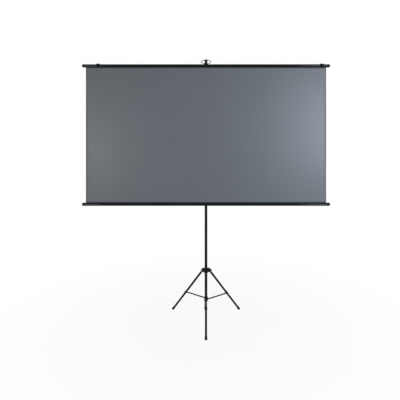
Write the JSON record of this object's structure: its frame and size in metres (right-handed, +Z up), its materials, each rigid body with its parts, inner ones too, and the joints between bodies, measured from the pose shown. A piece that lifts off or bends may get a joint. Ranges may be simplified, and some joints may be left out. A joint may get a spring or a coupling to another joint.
{
  "type": "tripod projection screen",
  "caption": "Free-standing projection screen: a hand-rolled cloth between two round bars hangs by a wire ring from the hook of a telescopic pole on a folding, braced tripod.",
  "frame": {"origin": "on the floor, under the middle of the object's bounding box", "axes": "+Z up, -Y the way the picture faces, +X to the right of someone who looks at the picture"},
  "size_m": [2.288, 0.5882, 2.4203],
  "materials": {
    "powder_coat": "black powder-coated steel tube, strip and wire, semi-matt",
    "bar_anodised": "black anodised aluminium tube, satin gloss",
    "moulded_plastic": "black glass-filled nylon, fine moulded texture",
    "natural_nylon": "natural nylon, smooth",
    "foot_rubber": "black rubber, matte",
    "zinc_plate": "bright zinc-plated steel",
    "brass": "turned brass",
    "screen_cloth": "grey matte projection cloth, coated weave",
    "strap_webbing": "black hook-and-loop webbing, matte"
  },
  "bodies": {
    "stand_base": {"outer_pole": "powder_coat", "spider": "moulded_plastic", "brace_pin_front": "zinc_plate", "brace_pin_right": "zinc_plate", "brace_pin_left": "zinc_plate", "lower_clamp": "moulded_plastic", "lower_clamp_insert": "brass"},
    "leg_collar": {"leg_collar": "moulded_plastic", "leg_pin_front": "zinc_plate", "leg_pin_right": "zinc_plate", "leg_pin_left": "zinc_plate", "leg_collar_insert": "brass"},
    "leg_collar_knob": {"leg_collar_knob": "moulded_plastic", "leg_collar_stud": "zinc_plate"},
    "leg_front": {"leg_tube_front": "powder_coat", "leg_plug_front": "moulded_plastic", "leg_clip_front": "moulded_plastic", "leg_foot_front": "foot_rubber"},
    "leg_right": {"leg_tube_right": "powder_coat", "leg_plug_right": "moulded_plastic", "leg_clip_right": "moulded_plastic", "leg_foot_right": "foot_rubber"},
    "leg_left": {"leg_tube_left": "powder_coat", "leg_plug_left": "moulded_plastic", "leg_clip_left": "moulded_plastic", "leg_foot_left": "foot_rubber"},
    "brace_front": {"brace_front": "powder_coat"},
    "brace_right": {"brace_right": "powder_coat"},
    "brace_left": {"brace_left": "powder_coat"},
    "lower_clamp_knob": {"lower_clamp_knob": "moulded_plastic", "lower_clamp_stud": "zinc_plate"},
    "middle_pole": {"middle_pole": "powder_coat", "middle_pole_glide": "natural_nylon", "upper_clamp": "moulded_plastic", "upper_clamp_insert": "brass"},
    "upper_clamp_knob": {"upper_clamp_knob": "moulded_plastic", "upper_clamp_stud": "zinc_plate"},
    "top_pole": {"top_pole": "powder_coat", "top_pole_glide": "natural_nylon", "hook_head": "moulded_plastic", "hook_screw": "zinc_plate"},
    "hanging_ring": {"hanging_ring": "powder_coat"},
    "screen": {"top_bar": "bar_anodised", "hanging_bracket": "powder_coat", "top_bar_cap_left": "moulded_plastic", "top_bar_cap_right": "moulded_plastic", "tie_strap_left": "strap_webbing", "tie_strap_right": "strap_webbing", "screen_fabric": "screen_cloth", "top_hem_rod": "natural_nylon"},
    "bottom_bar": {"bottom_bar": "bar_anodised", "bottom_bar_cap_left": "moulded_plastic", "bottom_bar_cap_right": "moulded_plastic", "bottom_hem_rod": "natural_nylon"}
  },
  "joints": [
    {"name": "collar_slide", "type": "slide", "parent": "stand_base", "child": "leg_collar", "axis": [0, 0, 1], "range_m": [0, 0.2555]},
    {"name": "leg_fold_front", "type": "hinge", "parent": "leg_collar", "child": "leg_front", "pos_m": [0, 0.05364, 0.44428], "axis": [1, 0, 0], "range_deg": [0, 37.5]},
    {"name": "leg_fold_right", "type": "hinge", "parent": "leg_collar", "child": "leg_right", "pos_m": [0.03464, 0.11364, 0.44428], "axis": [-0.5, 0.866, 0], "range_deg": [0, 37.5]},
    {"name": "leg_fold_left", "type": "hinge", "parent": "leg_collar", "child": "leg_left", "pos_m": [-0.03464, 0.11364, 0.44428], "axis": [-0.5, -0.866, 0], "range_deg": [0, 37.5]},
    {"name": "brace_fold_front", "type": "hinge", "parent": "stand_base", "child": "brace_front", "pos_m": [0, 0.07064, 0.186], "axis": [-1, 0, 0], "range_deg": [0, 81.6]},
    {"name": "brace_fold_right", "type": "hinge", "parent": "stand_base", "child": "brace_right", "pos_m": [0.01992, 0.10514, 0.186], "axis": [0.5, -0.866, 0], "range_deg": [0, 81.6]},
    {"name": "brace_fold_left", "type": "hinge", "parent": "stand_base", "child": "brace_left", "pos_m": [-0.01992, 0.10514, 0.186], "axis": [0.5, 0.866, 0], "range_deg": [0, 81.6]},
    {"name": "collar_knob_turn", "type": "hinge", "parent": "leg_collar", "child": "leg_collar_knob", "pos_m": [0, 0.09364, 0.46128], "axis": [0.866, -0.5, 0], "range_deg": [0, 360]},
    {"name": "lower_knob_turn", "type": "hinge", "parent": "stand_base", "child": "lower_clamp_knob", "pos_m": [0, 0.09364, 1.1343], "axis": [0, 1, 0], "range_deg": [0, 360]},
    {"name": "middle_pole_slide", "type": "slide", "parent": "stand_base", "child": "middle_pole", "axis": [0, 0, 1], "range_m": [-0.275, 0]},
    {"name": "upper_knob_turn", "type": "hinge", "parent": "middle_pole", "child": "upper_clamp_knob", "pos_m": [0, 0.09364, 1.7743], "axis": [0, 1, 0], "range_deg": [0, 360]},
    {"name": "top_pole_slide", "type": "slide", "parent": "middle_pole", "child": "top_pole", "axis": [0, 0, 1], "range_m": [-0.275, 0]},
    {"name": "ring_swing", "type": "hinge", "parent": "top_pole", "child": "hanging_ring", "pos_m": [0, 0.02364, 2.4123], "axis": [-1, 0, 0], "range_deg": [-10, 20]},
    {"name": "screen_swing", "type": "hinge", "parent": "hanging_ring", "child": "screen", "pos_m": [0, 0.02364, 2.3843], "axis": [-1, 0, 0], "range_deg": [-1, 25]},
    {"name": "roll_up", "type": "slide", "parent": "screen", "child": "bottom_bar", "axis": [0, 0, 1], "range_m": [0, 1.235], "deforming": ["screen_fabric"]}
  ],
  "couplings": [
    {"joint": "leg_fold_front", "follows": "collar_slide", "rad_per_m": 2.5612},
    {"joint": "leg_fold_right", "follows": "collar_slide", "rad_per_m": 2.5612},
    {"joint": "leg_fold_left", "follows": "collar_slide", "rad_per_m": 2.5612},
    {"joint": "brace_fold_front", "follows": "collar_slide", "rad_per_m": 5.5726},
    {"joint": "brace_fold_right", "follows": "collar_slide", "rad_per_m": 5.5726},
    {"joint": "brace_fold_left", "follows": "collar_slide", "rad_per_m": 5.5726}
  ]
}
